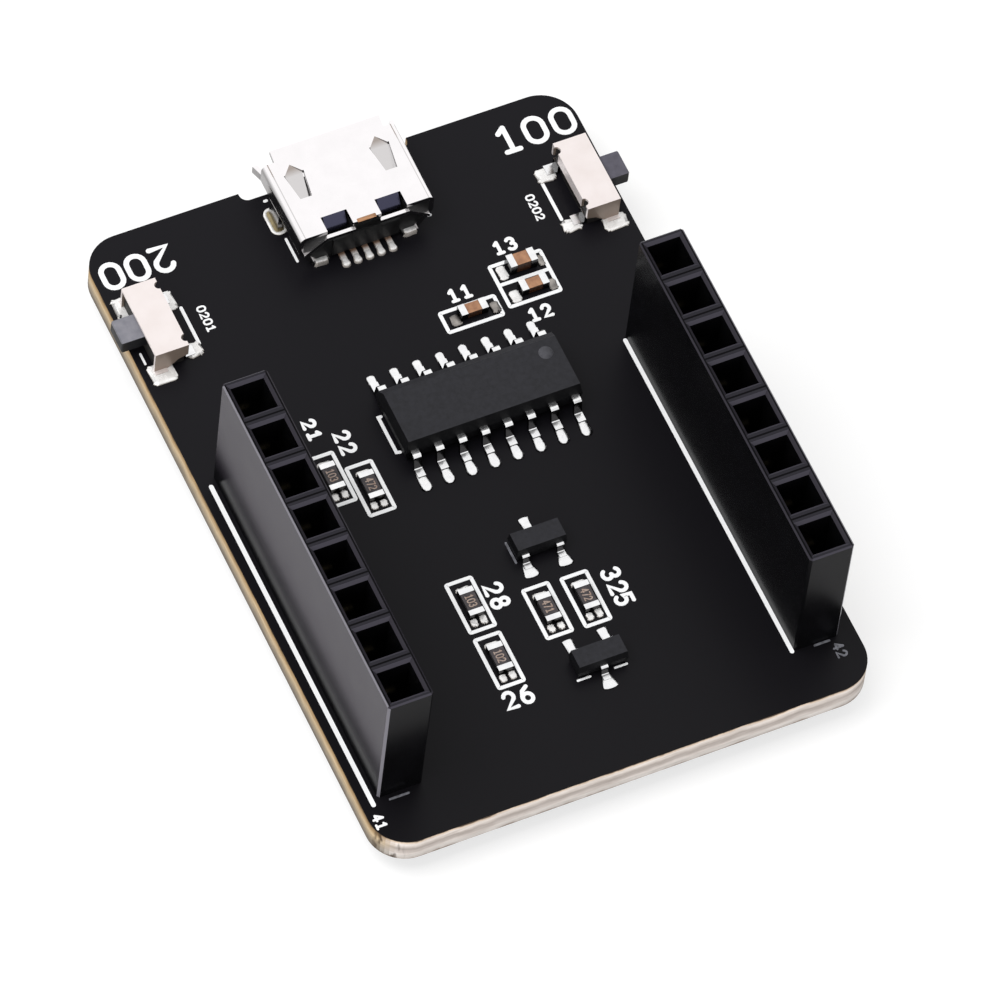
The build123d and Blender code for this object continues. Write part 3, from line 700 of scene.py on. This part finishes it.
# How far a ragged rim's waves run on from one point of the outline to the next, across and along
RIM_WAVE_X = 2.3
RIM_WAVE_Y = 3.1


def ragged(x0, x1, y0, y1, r, uneven, phase):
    """A round-cornered outline whose rim wanders, as a hand-soldered pad's does."""
    points = []
    for k, (x, y) in enumerate(rounded(x0, x1, y0, y1, r, steps=5)):
        points.append((x + uneven * math.sin(RIM_WAVE_X * k + phase),
                       y + uneven * math.sin(RIM_WAVE_Y * k + 1.7 * phase)))
    return points


# Each lead's solder widens from its heel, under the foot, to a round toe in front of it
CHIP_LEADS_A_SIDE = 8
CHIP_PITCH = 1.27
chip_solder = Shape()
low, high = node_box("chip_leads")
chip_x, chip_y = middle_of(low, high)
half_span = (high.y - low.y) / 2
near, far = chip_y - half_span, chip_y + half_span
for way in range(CHIP_LEADS_A_SIDE):
    x = chip_x + (way - (CHIP_LEADS_A_SIDE - 1) / 2) * CHIP_PITCH
    mound(chip_solder, flared(x, near + 0.6, near - 0.84, 0.4, 0.62), 0.15)
    mound(chip_solder, flared(x, far - 0.5, far + 0.58, 0.38, 0.5), 0.15)
chip_solder.piece("chip_pads_and_solder", bright_solder, "solder")

# A transistor has two leads on one side, this far from its middle, and one at the middle of the other side
TRANSISTOR_LEAD_X = 0.95
transistor_solder = Shape()
for name, pair_side in (("transistor_1", -1), ("transistor_2", 1)):
    low, high = node_box(f"{name}_leads")
    tx, ty = middle_of(low, high)
    half_span = (high.y - low.y) / 2
    for dx, out in ((-TRANSISTOR_LEAD_X, pair_side), (TRANSISTOR_LEAD_X, pair_side), (0.0, -pair_side)):
        edge = ty + out * half_span
        wide = 0.85 if out < 0 else 0.6
        mound(transistor_solder, flared(tx + dx, edge - out * 0.42, edge + out * 0.52, 0.4, wide, 0.35), 0.11)
transistor_solder.piece("transistor_pads_and_solder", bright_solder, "solder")

# Each resistor has two beads at its near end and one strip of solder at the far one
resistor_solder = Shape()
for k in range(1, 7):
    cx, cy = middle_of(*node_box(f"resistor_{k}"))
    for side, shorter in ((-1, 0.08), (1, 0.06 * (k % 3))):
        x0, x1 = sorted((cx + side * 0.08, cx + side * 0.44))
        mound(resistor_solder, ragged(x0, x1, cy - 1.28, cy - 0.74 - shorter, 0.13, 0.03, k), 0.1, crown=0.8)
    mound(resistor_solder, ragged(cx - 0.4, cx + 0.4, cy + 0.76, cy + 1.08, 0.14, 0.02, k), 0.17)
resistor_solder.piece("resistor_pads_and_solder", satin_solder, "solder")

# The capacitors' pads: the bright ones stand clear of the part, and those in its shade are painted a darker
# solder: painted shade
bright_pads = Shape()
shaded_pad_mounds = Shape()
CAPACITOR_PADS = ((bright_pads, (5.72, 6.26, 7.86, 8.6), 0.09), (bright_pads, (5.7, 6.2, 9.34, 10.2), 0.09),
                  (shaded_pad_mounds, (2.27, 2.85, 7.65, 8.37), 0.12), (shaded_pad_mounds, (4.5, 5.0, 7.65, 8.37), 0.12),
                  (shaded_pad_mounds, (7.82, 8.28, 7.85, 8.55), 0.1), (shaded_pad_mounds, (7.9, 8.25, 9.4, 10.1), 0.1))
for shape, box, height in CAPACITOR_PADS:
    mound(shape, ragged(*box, 0.16, 0.025, box[0]), height, crown=0.6)
bright_pads.piece("capacitor_pads_bright", satin_solder, "solder")
shaded_pad_mounds.piece("capacitor_pads_in_painted_shade", solder_painted_shade, "solder")

# The receptacle: solder on its contacts and rear feet, and rings and solder at the slots of its legs
USB_LEG_X = 3.62
USB_LEG_Y = 16.95
USB_FOOT_X = 2.48
usb_solder = Shape()
for way in range(1, 6):
    low, high = node_box(f"usb_contact_{way}")
    x = (low.x + high.x) / 2
    mound(usb_solder, flared(x, low.y + 0.5, 13.0, 0.26, 0.46), 0.22)
usb_x = middle_of(*node_box("usb_shell"))[0]
slot_fill = Shape()
for side in (-1, 1):
    x, y = usb_x + side * USB_LEG_X, USB_LEG_Y
    usb_solder.stroke(rounded(x - 0.36, x + 0.36, y - 0.77, y + 0.77, 0.34, steps=6), 0.17, 0.0, 0.05,
                      closed=True)
    fillet(slot_fill, (x - 0.3, x + 0.3, y - 0.7, y + 0.7), (x - 0.12, x + 0.12, y - 0.56, y + 0.56), 0.16)
    foot_x = usb_x + side * USB_FOOT_X
    mound(usb_solder, ragged(foot_x - 0.4, foot_x + 0.4, 13.6, 14.0, 0.14, 0.02, side), 0.37, crown=0.7)
usb_solder.piece("receptacle_pads_and_solder", satin_solder, "solder")
slot_fill.piece("receptacle_slot_plating", slot_plating, "solder")

# Bare strip where the shell was cut off between its two rear notches
ROOF_Z = 2.58
cut_edge = Shape()
cut_edge.prism(rounded(usb_x - 0.55, usb_x + 0.5, 13.83, 14.06, 0.05), ROOF_Z - 0.01, ROOF_Z + 0.006)
cut_edge.piece("receptacle_cut_edge", bare_copper, "shell_steel")

# Pads of the switches, each a little uneven: the side, its ends across the board, and its ends along it
switch_solder = Shape()
SWITCH_PADS = ((1, 9.97, 11.0, 14.0, 14.85), (1, 9.97, 11.0, 10.75, 11.5), (1, 12.0, 13.3, 10.05, 10.95),
               (1, 12.0, 13.2, 14.95, 15.7), (-1, 10.22, 11.0, 13.9, 15.1), (-1, 10.1, 11.0, 10.9, 11.75),
               (-1, 11.9, 13.25, 10.0, 11.25), (-1, 12.1, 13.36, 14.3, 15.6))
for phase, (side, x0, x1, y0, y1) in enumerate(SWITCH_PADS):
    x0, x1 = sorted((side * x0, side * x1))
    mound(switch_solder, ragged(x0, x1, y0, y1, 0.22, 0.045, phase), 0.12, crown=0.7)
switch_solder.piece("switch_pads_and_solder", satin_solder, "solder")

# Pale disc at the chip's first lead
chip_top = node_box("chip_body")[1].z
disc = Shape()
disc.prism(circle(5.42, 3.6, 0.38), chip_top - 0.01, chip_top + 0.005)
disc.piece("chip_pin_one_disc", disc_grey, "package_plastic")

# Plated rings of the pin holes, on the lower face
rings = Shape()
for side in ("left", "right"):
    for way in range(1, 9):
        cx, cy = middle_of(*node_box(f"{side}_contact_{way}"))
        rings.prism(circle(cx, cy, 0.95), -board_t - PAD_T / 2, -board_t)
rings.piece("pin_hole_rings", tinned, "tinned_metal")

# Each spring leaf is a copy of its spring's mesh, baked into place in the scene, and the spring itself is
# hidden
for side in ("left", "right"):
    spring_node = frame["nodes"][f"{side}_switch_spring"]
    leaf = bpy.data.objects.new(f"{side}_switch_spring_leaf", spring_node.data.copy())
    bpy.context.scene.collection.objects.link(leaf)
    leaf.matrix_world = spring_node.matrix_world.copy()
    low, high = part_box(f"{side}_switch_spring")
    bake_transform(leaf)
    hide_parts(f"{side}_switch_spring")

# Numbers printed on the resistors
marks = Shape()
for k, digits in enumerate(("103", "472", "103", "102", "471", "472"), 1):
    low, high = node_box(f"resistor_{k}")
    cx, cy = middle_of(low, high)
    number(marks, digits, (cx - 0.2, cy + 0.34), (0, -1), 0.4, 0.06, 0.62, high.z, high.z + 0.008, wide=0.72)
marks.piece("resistor_markings", mark_grey, "resistor_ceramic", smooth=False)


# Floor, light and camera

def seen_directly(tree):
    """1 for camera, glossy and transmission rays, 0 for the rest."""
    path = tree.nodes.new("ShaderNodeLightPath")
    total = path.outputs["Is Camera Ray"]
    for name in ("Is Glossy Ray", "Is Transmission Ray"):
        total = math_node(tree, "MAXIMUM", total, path.outputs[name])
    return total


# Glow that brings the lit grey of the floor up to white for the camera
FLOOR_GLOW = 0.66


def floor_material():
    """Pale floor: what the camera sees of it is white with a light shadow."""
    made = bpy.data.materials.new("pale_floor")
    made.use_nodes = True
    tree = made.node_tree
    tree.nodes.clear()
    lit = node(tree, "ShaderNodeBsdfDiffuse", Color=srgb(168, 168, 168))
    glow = node(tree, "ShaderNodeEmission", Color=(1, 1, 1, 1), Strength=FLOOR_GLOW)
    seen = tree.nodes.new("ShaderNodeAddShader")
    bounced = node(tree, "ShaderNodeBsdfDiffuse", Color=srgb(226, 226, 226))
    mix = tree.nodes.new("ShaderNodeMixShader")
    output = tree.nodes.new("ShaderNodeOutputMaterial")
    tree.links.new(lit.outputs[0], seen.inputs[0])
    tree.links.new(glow.outputs[0], seen.inputs[1])
    tree.links.new(seen_directly(tree), mix.inputs["Fac"])
    tree.links.new(bounced.outputs[0], mix.inputs[1])
    tree.links.new(seen.outputs[0], mix.inputs[2])
    tree.links.new(mix.outputs[0], output.inputs["Surface"])
    return made


# The floor reaches this many metres each way
FLOOR_REACH = 3.0
floor_mesh = bpy.data.meshes.new("floor")
floor_corners = [(FLOOR_REACH * x, FLOOR_REACH * y, 0) for x, y in ((-1, -1), (1, -1), (1, 1), (-1, 1))]
floor_mesh.from_pydata(floor_corners, [], [(0, 1, 2, 3)])
floor_mesh.materials.append(floor_material())
floor = bpy.data.objects.new("floor", floor_mesh)
bpy.context.scene.collection.objects.link(floor)

# The world's strength for the light it gives, and for what is seen of it directly or in a reflection
WORLD_LIT = 0.55
WORLD_SEEN = 1.0
world = bpy.data.worlds.new("studio")
bpy.context.scene.world = world
world.use_nodes = True
tree = world.node_tree
background = tree.nodes["Background"]
background.inputs["Color"].default_value = (1, 1, 1, 1)
strength = spread(tree, seen_directly(tree), WORLD_LIT, WORLD_SEEN, 0.0, 1.0)
tree.links.new(strength, background.inputs["Strength"])


def soft_lamp(name, place, size, power):
    """A square lamp that faces the object and isn't seen in it, its size in metres and its power in watts."""
    data = bpy.data.lights.new(name, "AREA")
    data.shape = "SQUARE"
    data.size = size
    data.energy = power
    lamp = bpy.data.objects.new(name, data)
    lamp.location = place
    lamp.rotation_euler = Vector(place).to_track_quat("Z", "Y").to_euler()
    lamp.visible_glossy = False
    bpy.context.scene.collection.objects.link(lamp)


soft_lamp("key", (-0.2, 0.08, 0.5), size=0.35, power=1.9)
soft_lamp("low_fill", (-0.35, -0.35, 0.12), size=0.4, power=1.2)

# The camera that the photograph was taken with, found from the board, the socket rows and the chip
FOCAL_PIXELS = 11116.4
PICTURE_PIXELS = 1000
SENSOR_MM = 36.0
camera_data = bpy.data.cameras.new("camera")
camera_data.sensor_width = SENSOR_MM
camera_data.lens = FOCAL_PIXELS / PICTURE_PIXELS * SENSOR_MM
camera_data.clip_start = 0.01
camera_data.clip_end = 20.0
camera = bpy.data.objects.new("camera", camera_data)
right = Vector((0.90787, -0.41273, 0.07362))
down = Vector((-0.31422, -0.78612, -0.53223))
ahead = Vector((0.27754, 0.46007, -0.84339))
place = origin + Vector((-154.934, -259.756, 471.405)) * MM
camera.matrix_world = Matrix.Translation(place) @ Matrix((right, -down, -ahead)).transposed().to_4x4()
bpy.context.scene.collection.objects.link(camera)
bpy.context.scene.camera = camera
bpy.context.scene.view_settings.view_transform = "Standard"
